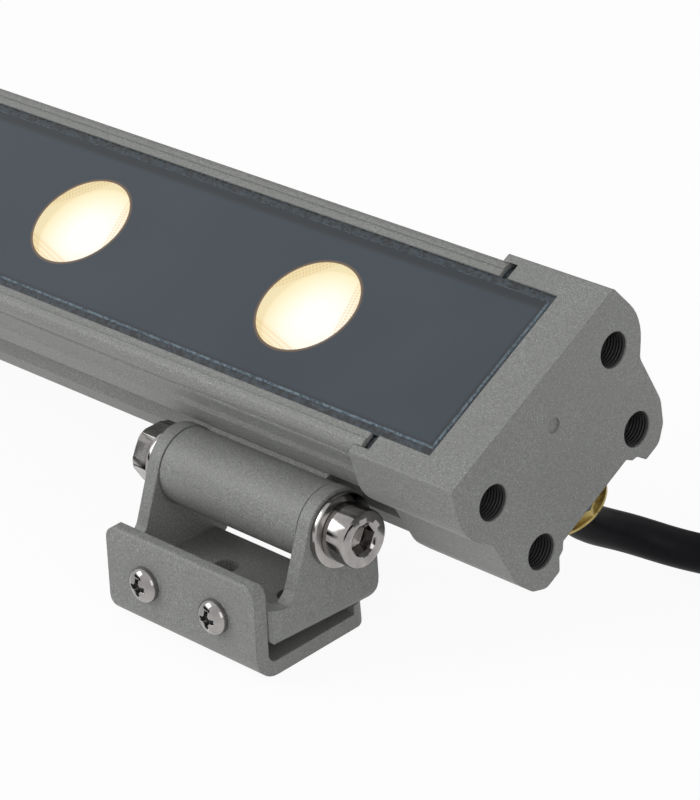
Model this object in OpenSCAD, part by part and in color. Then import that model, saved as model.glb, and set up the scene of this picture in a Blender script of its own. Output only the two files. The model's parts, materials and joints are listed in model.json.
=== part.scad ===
// LED linear light: an extruded housing with a glass front, carried by two tilting brackets.
// Row frame: +X runs along the lamp, +Y points to the back, +Z points up.
// The origin is the centre of the right bracket's pair of fixing holes, on the mounting plane.

/* [Lamp] */
// Length over both end caps
lamp_len = 500; // [460:1:1200]
// Number of LEDs in the row
led_count = 6; // [4:1:8]
// Distance from an end face to the centre of the first LED
led_inset = 65.25; // [60:0.25:75]
// Distance from an end face to the middle of the nearest bracket
bracket_inset = 63; // [62:0.5:72]
// Tilt of the glass away from facing straight up
lamp_tilt = 26.2; // [0:0.1:80]

/* [Housing profile] */
// Half width of the extrusion at its flanks
flank_half_w = 27.1; // [26:0.1:30]
// Depth of the extrusion behind the glass face
profile_depth = 37.8; // [37:0.1:40]
// Height of the outer lip above the glass face
lip_rise = 0.3; // [0.1:0.1:1]
// Width of the raised lip along each flank
lip_w = 2.9; // [2.1:0.1:3.6]
// Radius of the lip's outer corner
lip_r = 2.6; // [1:0.1:2.8]
// Wall between the glass bed and the flank
bed_wall = 4.7; // [4.1:0.1:5.6]
// Wall between the LED chamber and the flank
led_wall = 10.5; // [10.1:0.1:11.3]
// Depth of the LED chamber's floor
led_floor_depth = 16; // [15.5:0.1:16.4]
// Thickness of the heat-spreading floor
led_floor_t = 3; // [2:0.1:4]
// Wall between the driver chamber and the flank
driver_wall = 12.7; // [12.3:0.1:15.1]
// Depth of the driver chamber's floor
driver_floor_depth = 31; // [30:0.1:31.5]
// Depth of the side slot's upper edge
slot_top = 16.6; // [16.2:0.1:17]
// Depth of the side slot's lower edge
slot_bottom = 28.5; // [28:0.1:29]
// How far the side slot reaches in from the flank
slot_reach = 9.9; // [9.1:0.1:10.1]
// Height of the undercut behind the slot's lip
slot_undercut = 1.2; // [0.8:0.1:1.3]
// Thickness of the slot's lip
slot_lip_t = 3.1; // [2.5:0.1:3.5]
// How far the rear lobe stays in from the flank
rear_step = 3.9; // [3.1:0.1:4.6]
// Depth of the recess between the two rear feet
rear_recess_depth = 33.5; // [33.2:0.1:34]

/* [End caps] */
// Length of a cap from its gasket to its end face
cap_len = 25; // [24:0.5:32]
// Length of the skirt that reaches back over the gasket and the housing
skirt_len = 4.1; // [3:0.1:4.5]
// Clearance between the skirt and the housing
skirt_gap = 0.25; // [0.1:0.05:0.4]
// How far a cap stands out beside the housing's flank
cap_wall = 4.3; // [3.9:0.1:5.9]
// Depth of a cap over its rear feet
cap_depth = 42; // [41.5:0.1:45]
// Depth of the recess between a cap's rear feet
cap_recess_depth = 36.85; // [36.5:0.1:38]
// Thickness of the end wall
cap_end_t = 4; // [3:0.5:5]
// Width of the front rim beyond the glass
cap_rim_w = 10.85; // [10:0.05:12]
// Distance from the housing's flank to a cap's inner pocket
cap_pocket_wall = 12.5; // [12.3:0.1:14.1]
// Depth at which the pocket narrows between the rear screws
cap_pocket_depth = 27; // [26:0.5:28]
// Distance from the housing's flank to the narrow part of the pocket
cap_pocket_rear_wall = 16.6; // [16.1:0.1:17.6]
// Thickness of the rubber gasket behind a cap
gasket_t = 2.3; // [1:0.1:3]
// Depth of the small dimple in the end face
dimple_depth = 0.5; // [0.2:0.1:1]
// Radius of the small dimple in the end face
dimple_r = 1.7; // [1:0.1:2.5]

/* [End cap screws] */
// Radius of a counterbore in the end face
counterbore_r = 4.05; // [3.8:0.05:4.3]
// Distance from the housing's flank to the front pair of screws
front_screw_in = 5.8; // [5.3:0.1:6.1]
// Depth of the front pair of screws
front_screw_depth = 11.8; // [11.5:0.1:12]
// Distance from the housing's flank to the rear pair of screws
rear_screw_in = 9.8; // [9.3:0.1:10.1]
// Depth of the rear pair of screws
rear_screw_depth = 33.4; // [33:0.1:33.8]
// Radius of the screw thread
cap_screw_r = 2; // [1.5:0.1:2.1]
// Radius of the screw head
cap_screw_head_r = 3.5; // [3:0.1:3.6]
// Height of the screw head
cap_screw_head_h = 4; // [3:0.1:5]
// Length of the screw under its head
cap_screw_len = 16; // [12:1:20]
// Thickness of the cap under the screw heads
cap_screw_seat = 6; // [4:0.5:8]
// Hexagon socket width across flats
cap_screw_socket = 3; // [2:0.5:3]

/* [Glass] */
// Thickness of the glass cover
glass_t = 3; // [2:0.1:3.5]
// Width of the rubber seal beside the glass
seal_side_w = 1.8; // [1:0.1:2.5]
// Width of the rubber seal at the ends of the glass
seal_end_w = 0.8; // [0.5:0.1:1.5]
// Thickness of the seal under the glass
seal_under_t = 1; // [0.5:0.1:1.2]
// Width of the seal under the glass
seal_under_w = 4.2; // [3:0.1:5]

/* [LEDs and lenses] */
// Gap between the circuit board and the wall of its chamber
board_gap = 1.6; // [0.6:0.1:3]
// Thickness of the circuit board
board_t = 1.6; // [1:0.1:2]
// How far the board reaches past the outer LEDs
board_end = 30; // [18:1:34]
// Width of an LED's square base
led_w = 5; // [3:0.1:6]
// Height of an LED's base
led_h = 1; // [0.6:0.1:1.4]
// Radius of an LED's dome
led_dome_r = 1.7; // [1:0.1:2]
// Gap between a lens flange and the wall of its chamber
lens_side_gap = 2.2; // [1.6:0.1:3.1]
// Thickness of the lens flange
lens_flange_t = 1.2; // [0.8:0.1:2]
// Width of the flange around a lens cone
lens_flange_w = 1.5; // [1.4:0.1:3]
// Radius of a lens at its foot
lens_foot_r = 4.6; // [4:0.1:6]
// Clearance between the lenses and the glass
lens_gap = 0.3; // [0.1:0.1:1]
// Wall of a lens holder
holder_t = 1.6; // [1:0.1:2]
// Radius of a board screw
board_screw_r = 1.5; // [1:0.1:2]
// Radius of a board screw's head
board_screw_head_r = 2.8; // [2.2:0.1:3.2]
// Height of a board screw's head
board_screw_head_h = 1.8; // [1:0.1:2.4]
// Length of a board screw under its head
board_screw_len = 4.2; // [3.2:0.1:4.4]

/* [Driver and wires] */
// Length of the potted driver
driver_len = 120; // [60:1:150]
// Gap between the driver and the wall of its chamber
driver_side_gap = 1.9; // [1.4:0.1:6]
// Height of the driver
driver_h = 10.5; // [6:0.5:11]
// Distance from the LED feed hole to the driver
driver_gap = 9; // [7:0.5:12]
// Radius of an insulated core
core_r = 0.9; // [0.6:0.1:1.1]
// Distance between the cores
core_pitch = 2.6; // [2.4:0.1:3]
// Bend radius of the cores
core_bend_r = 3; // [2.5:0.5:4]
// Radius of the hole that feeds the LED board
feed_hole_r = 3; // [2.8:0.1:4]

/* [Hinge] */
// Height of the hinge axis above the mounting plane
hinge_z = 27; // [26:0.5:40]
// Distance of the hinge axis behind the line of fixing holes
hinge_y = 5.8; // [5:0.1:7]
// Distance of the hinge axis below the housing's flank
hinge_off = 8.3; // [8.2:0.1:9.2]
// Depth of the hinge axis behind the glass face
hinge_depth = 22.1; // [21.8:0.1:22.8]
// Radius of the carrier tube
tube_r = 8.85; // [8:0.05:9]
// Length of the carrier tube
tube_len = 42.3; // [36:0.1:60]
// Length of the carrier's foot in the side slot
foot_len = 36; // [28:1:38]
// Clearance around the carrier's foot
foot_gap = 0.3; // [0.2:0.05:0.4]
// Clearance between the tube and each ear
ear_gap = 0.3; // [0.2:0.05:0.5]
// Radial clearance between the hinge screw and the tube
hinge_clearance = 0.06; // [0.02:0.01:0.1]
// Radius of a grub screw that locks the carrier
grub_r = 1.5; // [1:0.1:1.6]
// Half spacing of the grub screws
grub_x = 12; // [8:1:14]
// Distance of a grub screw from the slot's mouth
grub_inset = 1.8; // [1.6:0.1:2]

/* [U bracket] */
// Sheet thickness of the bracket
u_t = 3.4; // [2.5:0.1:4]
// Lean of the bracket towards the back
u_lean = 3.4; // [2:0.1:4]
// Radius of the rounded top of an ear
ear_r = 9; // [8.5:0.1:10]
// Distance from the hinge axis to the underside of the base
u_drop = 21; // [20:0.1:21.2]
// Reach of the ears in front of the hinge axis
ear_front = 16; // [15:0.1:16.4]
// Reach of the ears behind the hinge axis
ear_rear = 11.5; // [10:0.1:11.5]
// Reach of the base behind the hinge axis
u_base_rear = 6.65; // [5:0.05:8]
// Distance of the front flange's outer face from the hinge axis
flange_front = 20; // [19.5:0.1:21]
// Height of the front flange above the underside of the base
u_flange_h = 8.6; // [7.5:0.1:9]
// Radius of the bracket's upright front corners
u_corner_r = 3.7; // [1:0.1:4]
// Radius of the bends along the base
u_bend_r = 3; // [1:0.1:3.4]
// Radius of the ears' lower rear corner
ear_rear_r = 5; // [2:0.1:5.5]

/* [Mounting plate] */
// Width of the mounting plate
plate_w = 46.3; // [44:0.1:49]
// Thickness of the mounting plate
plate_t = 3.4; // [3:0.1:4]
// Height of the plate's front wall
plate_h = 22.5; // [20:0.1:24]
// Reach of the plate behind the hinge axis
plate_rear = 7.7; // [6.5:0.1:9]
// Width of the ridge that carries the bracket at the back
ridge_w = 3.8; // [2:0.1:5]
// Outer radius of the plate's bend
plate_bend_r = 5.5; // [4:0.1:6]
// Radius of the plate's corners
plate_corner_r = 3.2; // [1:0.1:5]
// Radius of a fixing hole
fix_hole_r = 2.9; // [2.5:0.1:3.2]
// Distance between the two fixing holes
fix_spacing = 20; // [18:0.1:22]
// Distance of the holes' centre from the bracket's middle
fix_offset = 4.2; // [0:0.1:5]

/* [Hinge and plate screws] */
// Radius of the hinge screw
hinge_screw_r = 4; // [3:0.1:4]
// Radius of the hinge screw's head
hinge_head_r = 6.5; // [5.5:0.1:6.6]
// Height of the hinge screw's head
hinge_head_h = 6.2; // [5:0.1:7]
// Hexagon socket of the hinge screw across flats
hinge_socket = 6; // [5:0.5:6.5]
// Radius of a washer
washer_r = 8.35; // [7.5:0.05:8.6]
// Thickness of a washer
washer_t = 1.6; // [1:0.1:2]
// Nut width across flats
nut_flats = 13; // [12:0.5:13]
// Nut height
nut_h = 6.1; // [5:0.1:6.5]
// How far the screw reaches past its nut
screw_past_nut = 0.6; // [0.2:0.1:0.8]
// Radius of a plate screw
plate_screw_r = 2; // [1.5:0.1:2.1]
// Length of a plate screw under its head
plate_screw_len = 6; // [5:0.5:6.5]
// Radius of a plate screw's head
pan_r = 4; // [3.5:0.1:4.2]
// Height of a plate screw's head
pan_h = 2.9; // [2:0.1:3.2]
// Half spacing of the plate screws
plate_screw_x = 10.85; // [9:0.05:13]
// Height of the plate screws above the base's underside
plate_screw_h = 4.8; // [4.5:0.1:5.2]

/* [Cable gland] */
// Distance from the end face to the gland's axis
gland_inset = 12; // [11:0.1:13.5]
// Radius of the gland's thread
gland_thread_r = 7.6; // [6:0.1:8]
// Hexagon of the gland across flats
gland_flats = 18; // [16:0.5:19]
// Height of the gland's hexagon
gland_hex_h = 2; // [1.5:0.1:5]
// Turn of the hexagon about the gland's axis
gland_turn = -6; // [-30:1:30]
// Radius of the round rim outside the hexagon
gland_rim_r = 10.35; // [9:0.05:11]
// Thickness of the round rim
gland_rim_t = 0.7; // [0.5:0.1:2]
// Thickness of the sealing washer under the gland
gland_washer_t = 2.85; // [1:0.05:3]
// Wall of the rubber bush around the cable
bush_t = 1.6; // [1:0.1:2]

/* [Cord] */
// Outer diameter of the supply cable
cord_d = 8.7; // [8:0.1:9]
// Mean radius of the coil's outer turn
coil_r = 52; // [48:1:60]
// Number of turns in the coil
coil_turns = 3.25; // [2.25:1:5.25]
// Distance between neighbouring turns
coil_pitch = 9.4; // [9.2:0.1:11]
// Length of the cable between the coil and the connector
tail_len = 36; // [20:1:60]
// Outer radius of the connector
plug_r = 9; // [8:0.1:10]
// Length of the connector's body
plug_len = 34; // [25:1:45]
// Length of the connector's strain relief
boot_len = 22; // [20:1:30]
// Length of the coupling ring
ring_len = 14; // [10:1:18]
// Radius of the coupling ring
ring_r = 10.5; // [10.2:0.1:13]
// Length of the cap over the connector's contacts
plug_cap_len = 12; // [8:1:20]

/* [Hidden] */
$fn = 64;

// Colours as the photo shows them
powder_grey = [0.51, 0.51, 0.50];
rubber_black = [0.07, 0.07, 0.08];
steel = [0.78, 0.78, 0.80];
brass = [0.71, 0.61, 0.33];
glass_grey = [0.31, 0.35, 0.38];
warm_white = [1, 0.96, 0.80];
copper_wire = [0.65, 0.20, 0.12];

// One overrun for every cut, and the clearance of a thread in its hole
cut = 1;
thread_gap = 0.02;

// Places along the lamp, from its middle
half_len = lamp_len / 2;
profile_half = half_len - cap_len - gasket_t;
cap_mouth = half_len - cap_len;
skirt_end = cap_mouth - skirt_len;
glass_bed_half = half_len - cap_rim_w;
led_row = lamp_len - 2 * led_inset;
led_pitch = led_row / (led_count - 1);
gland_x = half_len - gland_inset;
bracket_half = half_len - bracket_inset;

// Half widths in the lamp, measured in from its flank
lip_step_w = flank_half_w - lip_w;
glass_bed_half_w = flank_half_w - bed_wall;
led_chamber_half_w = flank_half_w - led_wall;
driver_chamber_half_w = flank_half_w - driver_wall;
slot_floor_w = flank_half_w - slot_reach;
rear_half_w = flank_half_w - rear_step;
cap_half_w = flank_half_w + cap_wall;
cap_pocket_half_w = flank_half_w - cap_pocket_wall;
cap_pocket_rear_half_w = flank_half_w - cap_pocket_rear_wall;
front_screw_w = flank_half_w - front_screw_in;
rear_screw_w = flank_half_w - rear_screw_in;
board_half_w = led_chamber_half_w - board_gap;
lens_r = led_chamber_half_w - lens_side_gap;
lens_cone_r = lens_r - lens_flange_w;
driver_half_w = driver_chamber_half_w - driver_side_gap;

// Depths in the lamp, measured down from the glass face
board_top = led_floor_depth - board_t;
glass_bed_depth = glass_t + seal_under_t;
lens_top = glass_t + lens_gap;
lens_seat = lens_top + lens_flange_t;
driver_roof = led_floor_depth + led_floor_t;
core_depth = (driver_roof + driver_floor_depth) / 2;
gland_hex_top = cap_recess_depth + gland_washer_t;
gland_face = gland_hex_top + gland_hex_h + gland_rim_t;
stub_top = core_depth + core_bend_r + core_r;

// The hinge axis in the lamp's own section, and the lamp's middle in the row frame
hinge_w = -flank_half_w - hinge_off;
hinge_n = -hinge_depth;
bracket_x = -fix_offset;
lamp_x = bracket_x - bracket_half;
bracket_pitch = 2 * bracket_half;

// Places across a bracket, from its middle
ear_in = tube_len / 2 + ear_gap;
ear_out = ear_in + u_t;
washer_out = ear_out + washer_t;

function unit(v) = v / norm(v);
function polar(r, a) = [r * cos(a), r * sin(a)];

// Points of an arc about c
function arc(c, r, from, to, steps) = [for (i = [0 : steps]) c + polar(r, from + (to - from) * i / steps)];

// Each outline point is [x, y, radius], and a corner with a radius becomes an arc
function corner_arc(p, q, s, r, steps) =
    let (a = unit(p - q), b = unit(s - q), half = acos(a * b) / 2, mid = q + unit(a + b) * (r / sin(half)))
    let (start = q + a * (r / tan(half)) - mid, end = q + b * (r / tan(half)) - mid)
    let (from = atan2(start[1], start[0]), turn = atan2(end[1], end[0]) - from)
    let (sweep = turn > 180 ? turn - 360 : (turn < -180 ? turn + 360 : turn))
    arc(mid, r, from, from + sweep, steps);

function flat(p) = [p[0], p[1]];

function rounded(points, steps) =
    let (n = len(points))
    [for (i = [0 : n - 1]) let (q = points[i])
        each q[2] > 0
            ? corner_arc(flat(points[(i + n - 1) % n]), flat(q), flat(points[(i + 1) % n]), q[2], steps)
            : [flat(q)]];

// A half outline at x >= 0 and its mirror image, as one closed outline
function both_sides(half) =
    concat(half, [for (i = [len(half) - 1 : -1 : 0]) [-half[i][0], half[i][1], half[i][2]]]);

module along_x(from, to) {
    translate([from, 0, 0]) rotate([90, 0, 90]) linear_extrude(to - from) children();
}

// A cylinder along X from one place to another
module rod_x(r, from, to) {
    translate([from, 0, 0]) rotate([0, 90, 0]) cylinder(r = r, h = to - from);
}

// An upright cylinder from one height to another
module rod_z(r, from, to) {
    translate([0, 0, from]) cylinder(r = r, h = to - from);
}

module hex_prism(flats, h) {
    cylinder(r = flats / sqrt(3), h = h, $fn = 6);
}

// A rectangle across the lamp's section, between two depths
module band(half_w, top, bottom) {
    translate([-half_w, -bottom]) square([2 * half_w, bottom - top]);
}

module in_lamp() {
    translate([lamp_x, hinge_y, hinge_z]) rotate([lamp_tilt, 0, 0])
        translate([0, -hinge_w, -hinge_n]) children();
}

module at_brackets() {
    right_bracket() children();
    left_bracket() children();
}

module right_bracket() {
    translate([bracket_x, 0, 0]) children();
}

module left_bracket() {
    translate([bracket_x - bracket_pitch, 0, 0]) children();
}

module each_led() {
    for (i = [0 : led_count - 1]) translate([i * led_pitch - led_row / 2, 0, 0]) children();
}

// Places between two LEDs, every second one
module between_leds(first) {
    for (i = [first : 2 : led_count - 2]) translate([(i + 0.5) * led_pitch - led_row / 2, 0, 0]) children();
}

module cap_screw_places() {
    for (s = [-1, 1]) {
        translate([s * front_screw_w, -front_screw_depth]) children();
        translate([s * rear_screw_w, -rear_screw_depth]) children();
    }
}

// Corner points of the rear lobe, grown by a clearance, from its flank to its middle
function rear_lobe(grow) = [
    [rear_half_w + grow, -0.966 * profile_depth, 0],
    [0.95 * rear_half_w + grow, -profile_depth - grow, 0],
    [0.63 * rear_half_w - grow, -profile_depth - grow, 0],
    [0.586 * rear_half_w - grow, -0.979 * profile_depth - grow, 0],
    [0.534 * rear_half_w - grow, -rear_recess_depth - grow, 0]
];

// Groove, recessed band and bevel down the flank, as shares of its half width and depth
flank_shares = [
    [1, 0.081], [0.97, 0.0975], [1, 0.114], [1, 0.1455], [0.98, 0.1455], [0.98, 0.254], [1, 0.296]
];

profile_outline = concat(
    [
        [glass_bed_half_w, 0, 0],
        [lip_step_w, 0, 0],
        [lip_step_w, lip_rise, 0],
        [flank_half_w, lip_rise, min(lip_r, 0.9 * (flank_half_w - lip_step_w))]
    ],
    [for (s = flank_shares) [s[0] * flank_half_w, -s[1] * profile_depth, 0]],
    [
        [flank_half_w, -slot_top, 0],
        [flank_half_w - slot_lip_t, -slot_top, 0],
        [flank_half_w - slot_lip_t, slot_undercut - slot_top, 0],
        [slot_floor_w, slot_undercut - slot_top, 0],
        [slot_floor_w, -slot_bottom, 0],
        [0.905 * rear_half_w, -slot_bottom, 0],
        [rear_half_w, -0.847 * profile_depth, 0]
    ],
    rear_lobe(0));

// The outline with its side slots closed, as the gasket and the skirt see it
function closed_outline(grow, top) = concat(
    [
        [flank_half_w + grow, top + grow, min(lip_r, 0.9 * (flank_half_w - lip_step_w)) + grow],
        [flank_half_w + grow, -slot_top - grow, 0],
        [rear_half_w + grow, -slot_top - 0.2 * (slot_bottom - slot_top), 0]
    ],
    rear_lobe(grow));

// Corners of a cap's half outline, as shares of its half width and depth, with each
// corner's radius as a share of its depth
cap_shares = [
    [0.901, 0, 0.014], [1, 0.29, 0.286], [0.834, 0.476, 0.071], [0.831, 0.798, 0.19],
    [0.761, 0.929, 0.071], [0.656, 1, 0.071], [0.506, 1, 0.019], [0.452, 0.929, 0.014],
    [0.404, 0.917, 0.012]
];
cap_outline = concat(
    [for (s = cap_shares) [s[0] * cap_half_w, -s[1] * cap_depth, s[2] * cap_depth]],
    [[0.366 * cap_half_w, -cap_recess_depth, 0.01 * cap_depth]]);

module profile_shape() {
    difference() {
        polygon(rounded(both_sides(profile_outline), 5));
        glass_bed();
        band(led_chamber_half_w, glass_bed_depth, led_floor_depth);
        band(driver_chamber_half_w, driver_roof, driver_floor_depth);
        cap_screw_places() circle(cap_screw_r);
    }
}

module glass_bed() {
    band(glass_bed_half_w, -lip_rise - cut, glass_bed_depth);
}

module housing_profile() {
    color(powder_grey) in_lamp() difference() {
        along_x(-profile_half, profile_half) profile_shape();
        between_leds(0) rod_z(board_screw_r, -board_top - board_screw_len, -board_top);
        between_leds(1) rod_z(feed_hole_r, -driver_roof - cut, cut - led_floor_depth);
    }
}

module cap_pocket() {
    band(cap_pocket_half_w, glass_bed_depth, cap_pocket_depth);
    band(cap_pocket_rear_half_w, glass_bed_depth, driver_floor_depth);
}

module end_cap(with_gland) {
    difference() {
        along_x(skirt_end, half_len) polygon(rounded(both_sides(cap_outline), 6));
        along_x(skirt_end - cut, cap_mouth)
            polygon(rounded(both_sides(closed_outline(skirt_gap, lip_rise)), 5));
        along_x(cap_mouth - cut, glass_bed_half) glass_bed();
        along_x(cap_mouth - cut, half_len - cap_end_t) cap_pocket();
        along_x(cap_mouth + cap_screw_seat, half_len + cut) cap_screw_places() circle(counterbore_r);
        along_x(cap_mouth - cut, half_len) cap_screw_places() circle(cap_screw_r + skirt_gap);
        translate([0, 0, -front_screw_depth]) rod_x(dimple_r, half_len - dimple_depth, half_len + cut);
        if (with_gland) translate([gland_x, 0, 0])
            rod_z(gland_thread_r, -cap_recess_depth - cut, cut - driver_floor_depth);
    }
}

module end_cap_right() {
    color(powder_grey) in_lamp() end_cap(true);
}

module end_cap_left() {
    color(powder_grey) in_lamp() mirror([1, 0, 0]) end_cap(false);
}

module end_gasket() {
    along_x(profile_half, cap_mouth) difference() {
        polygon(rounded(both_sides(closed_outline(0, -seal_under_t)), 5));
        glass_bed();
        band(cap_pocket_half_w, glass_bed_depth - cut, driver_floor_depth);
        cap_screw_places() circle(cap_screw_r + skirt_gap);
    }
}

module end_gasket_right() {
    color(rubber_black) in_lamp() end_gasket();
}

module end_gasket_left() {
    color(rubber_black) in_lamp() mirror([1, 0, 0]) end_gasket();
}

module cap_screw() {
    seat = cap_mouth + cap_screw_seat;
    difference() {
        union() {
            rod_x(cap_screw_r - thread_gap, seat - cap_screw_len, seat + thread_gap);
            rod_x(cap_screw_head_r, seat, seat + cap_screw_head_h);
        }
        translate([seat + 0.45 * cap_screw_head_h, 0, 0]) rotate([0, 90, 0])
            hex_prism(cap_screw_socket, cap_screw_head_h);
    }
}

module end_cap_screws() {
    for (s = [-1, 1]) {
        translate([0, s * front_screw_w, -front_screw_depth]) cap_screw();
        translate([0, s * rear_screw_w, -rear_screw_depth]) cap_screw();
    }
}

module end_cap_screws_right() {
    color(steel) in_lamp() end_cap_screws();
}

module end_cap_screws_left() {
    color(steel) in_lamp() mirror([1, 0, 0]) end_cap_screws();
}

// A plate centred on the lamp's middle, between two depths
module plate(half_x, half_w, top, bottom) {
    translate([-half_x, -half_w, -bottom]) cube([2 * half_x, 2 * half_w, bottom - top]);
}

module glass_cover() {
    color(glass_grey, 0.6) in_lamp()
        plate(glass_bed_half - seal_end_w, glass_bed_half_w - seal_side_w, 0, glass_t);
}

module glass_seal() {
    color(rubber_black) in_lamp() difference() {
        plate(glass_bed_half, glass_bed_half_w, 0.15 * glass_t, glass_bed_depth);
        plate(glass_bed_half - seal_end_w, glass_bed_half_w - seal_side_w, -cut, glass_t);
        plate(glass_bed_half - seal_under_w, glass_bed_half_w - seal_under_w, 0, glass_bed_depth + cut);
    }
}

module led_board() {
    color("white") in_lamp() difference() {
        plate(led_row / 2 + board_end, board_half_w, board_top, led_floor_depth);
        between_leds(0) rod_z(board_screw_r, -led_floor_depth - cut, cut - board_top);
        between_leds(1) rod_z(feed_hole_r, -led_floor_depth - cut, cut - board_top);
    }
}

module leds() {
    color("khaki") in_lamp() each_led() {
        translate([-led_w / 2, -led_w / 2, -board_top]) cube([led_w, led_w, led_h]);
        translate([0, 0, led_h - board_top]) intersection() {
            sphere(r = led_dome_r);
            translate([-led_w / 2, -led_w / 2, 0]) cube(led_w);
        }
    }
}

module lenses() {
    foot = board_top - led_h - lens_gap;
    hollow_r = led_dome_r + 2 * lens_gap;
    hollow = foot - led_dome_r - lens_gap;
    color(warm_white) in_lamp() each_led() rotate_extrude() polygon([
        [0, -hollow], [hollow_r, -hollow], [hollow_r, -foot], [lens_foot_r, -foot],
        [lens_cone_r, -lens_seat], [lens_r, -lens_seat], [lens_r, -lens_top], [0, -lens_top]
    ]);
}

module lens_holders() {
    color(rubber_black) in_lamp() each_led() difference() {
        rod_z(lens_cone_r + holder_t, -board_top, -lens_seat);
        rod_z(lens_cone_r + 0.05 * holder_t, -board_top - cut, cut - lens_seat);
    }
}

module board_screws() {
    color(steel) in_lamp() between_leds(0) translate([0, 0, -board_top]) {
        rod_z(board_screw_head_r, 0, board_screw_head_h);
        rod_z(board_screw_r - thread_gap, -board_screw_len, thread_gap);
    }
}

// The LED feed hole and the driver's two ends along the lamp
feed_x = 1.5 * led_pitch - led_row / 2;
driver_start = feed_x + driver_gap;
driver_end = driver_start + driver_len;

module driver() {
    color([0.20, 0.21, 0.23]) in_lamp() translate([driver_start, -driver_half_w, -driver_roof - driver_h])
        cube([driver_len, 2 * driver_half_w, driver_h]);
}

// A quarter bend of a core in the lamp's long section, about the origin
module core_bend(from) {
    rotate([90, 0, 0]) rotate([0, 0, from]) rotate_extrude(angle = 90)
        translate([core_bend_r, 0]) circle(core_r);
}

module led_wires() {
    color(copper_wire) in_lamp() for (s = [-0.5, 0.5]) translate([feed_x, s * core_pitch, 0]) {
        rod_z(core_r, core_bend_r - core_depth, -board_top);
        translate([core_bend_r, 0, core_bend_r - core_depth]) core_bend(180);
        translate([0, 0, -core_depth]) rod_x(core_r, core_bend_r, driver_gap);
    }
}

module supply_wires() {
    color(rubber_black) in_lamp() translate([gland_x, 0, 0]) {
        rod_z(cord_d / 2, -gland_face, -stub_top);
        for (s = [-1, 0, 1]) translate([0, s * core_pitch, 0]) {
            rod_z(core_r, -stub_top - core_r, -core_depth - core_bend_r);
            translate([-core_bend_r, 0, -core_depth - core_bend_r]) core_bend(0);
            translate([0, 0, -core_depth]) rod_x(core_r, driver_end - gland_x, -core_bend_r);
        }
    }
}

// A nut's hexagon, standing on the origin, with its corners turned off at the far face
module nut_hex(flats, h) {
    intersection() {
        hex_prism(flats, h);
        cylinder(r1 = flats / sqrt(3) + h, r2 = 0.48 * flats, h = h);
    }
}

// The cable gland in the right cap's back
module gland_body() {
    color(brass) in_lamp() translate([gland_x, 0, 0]) difference() {
        union() {
            translate([0, 0, -gland_hex_top]) rotate([180, 0, gland_turn])
                hex_prism(gland_flats, gland_hex_h);
            rod_z(gland_rim_r, -gland_face, gland_rim_t - gland_face);
            rod_z(gland_thread_r - thread_gap, -gland_hex_top, -driver_floor_depth);
        }
        rod_z(cord_d / 2 + bush_t, -gland_face - cut, cut - driver_floor_depth);
    }
}

module gland_washer() {
    color(rubber_black) in_lamp() translate([gland_x, 0, -gland_hex_top]) difference() {
        rotate([0, 0, gland_turn]) hex_prism(gland_flats, gland_washer_t);
        rod_z(gland_thread_r, -cut, gland_washer_t + cut);
    }
}

module gland_bush() {
    color(rubber_black) in_lamp() translate([gland_x, 0, 0]) difference() {
        rod_z(cord_d / 2 + bush_t - thread_gap, gland_rim_t - gland_face, -driver_floor_depth);
        rod_z(cord_d / 2 + thread_gap, gland_rim_t - gland_face - cut, cut - driver_floor_depth);
    }
}

// A hinge carrier, hooked into the lower side slot
module carrier() {
    lip_in = flank_half_w - slot_lip_t - foot_gap;
    foot_in = slot_floor_w + foot_gap;
    difference() {
        union() {
            translate([0, hinge_w, hinge_n]) rod_x(tube_r, -tube_len / 2, tube_len / 2);
            translate([-foot_len / 2, hinge_w, -slot_bottom])
                cube([foot_len, -hinge_w - lip_in, slot_bottom - slot_top - foot_gap]);
            translate([-foot_len / 2, -lip_in, -slot_bottom])
                cube([foot_len, lip_in - foot_in, slot_bottom - slot_top + slot_undercut - foot_gap]);
        }
        translate([0, hinge_w, hinge_n])
            rod_x(hinge_screw_r + hinge_clearance, -tube_len / 2 - cut, tube_len / 2 + cut);
        grub_places() rod_z(grub_r, -slot_bottom - cut, cut - slot_top);
    }
}

module grub_places() {
    for (s = [-1, 1]) translate([s * grub_x, grub_inset - flank_half_w, 0]) children();
}

module hinge_carrier_right() {
    color(powder_grey) in_lamp() translate([bracket_half, 0, 0]) carrier();
}

module hinge_carrier_left() {
    color(powder_grey) in_lamp() translate([-bracket_half, 0, 0]) carrier();
}

module grub_screw() {
    difference() {
        rod_z(grub_r - thread_gap, foot_gap - slot_bottom, -slot_top - thread_gap);
        translate([0, 0, foot_gap - slot_bottom - cut]) hex_prism(grub_r, grub_r + cut);
    }
}

module carrier_grub_screws() {
    color(steel) in_lamp() for (s = [-1, 1]) translate([s * bracket_half, 0, 0])
        grub_places() grub_screw();
}

// The two brackets, drawn about the hinge axis of one of them

module at_hinge() {
    translate([0, hinge_y, hinge_z]) children();
}

module leaning() {
    at_hinge() rotate([-u_lean, 0, 0]) children();
}

// Side view of an ear, front to the left
module ear_shape() {
    flange_top = u_flange_h - u_drop;
    circle(ear_r);
    polygon(rounded([
        [-0.92 * ear_r, 0.39 * ear_r, 0],
        [-0.83 * ear_front, -0.514 * u_drop, 0.25 * ear_front],
        [-0.96 * ear_front, flange_top, 0],
        [u_t / 2 - flange_front, flange_top, 0],
        [u_t / 2 - flange_front, -u_drop, 0],
        [ear_rear, -u_drop, ear_rear_r],
        [0.965 * ear_rear, -0.43 * u_drop, 0.3 * u_drop],
        [ear_r, 0, 0]
    ], 6));
}

module u_solid() {
    for (x = [-ear_out, ear_in]) along_x(x, x + u_t) ear_shape();
    translate([-ear_out, -flange_front, -u_drop]) cube([2 * ear_out, flange_front + u_base_rear, u_t]);
    translate([-ear_out, -flange_front, -u_drop]) cube([2 * ear_out, u_t, u_flange_h]);
}

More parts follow.
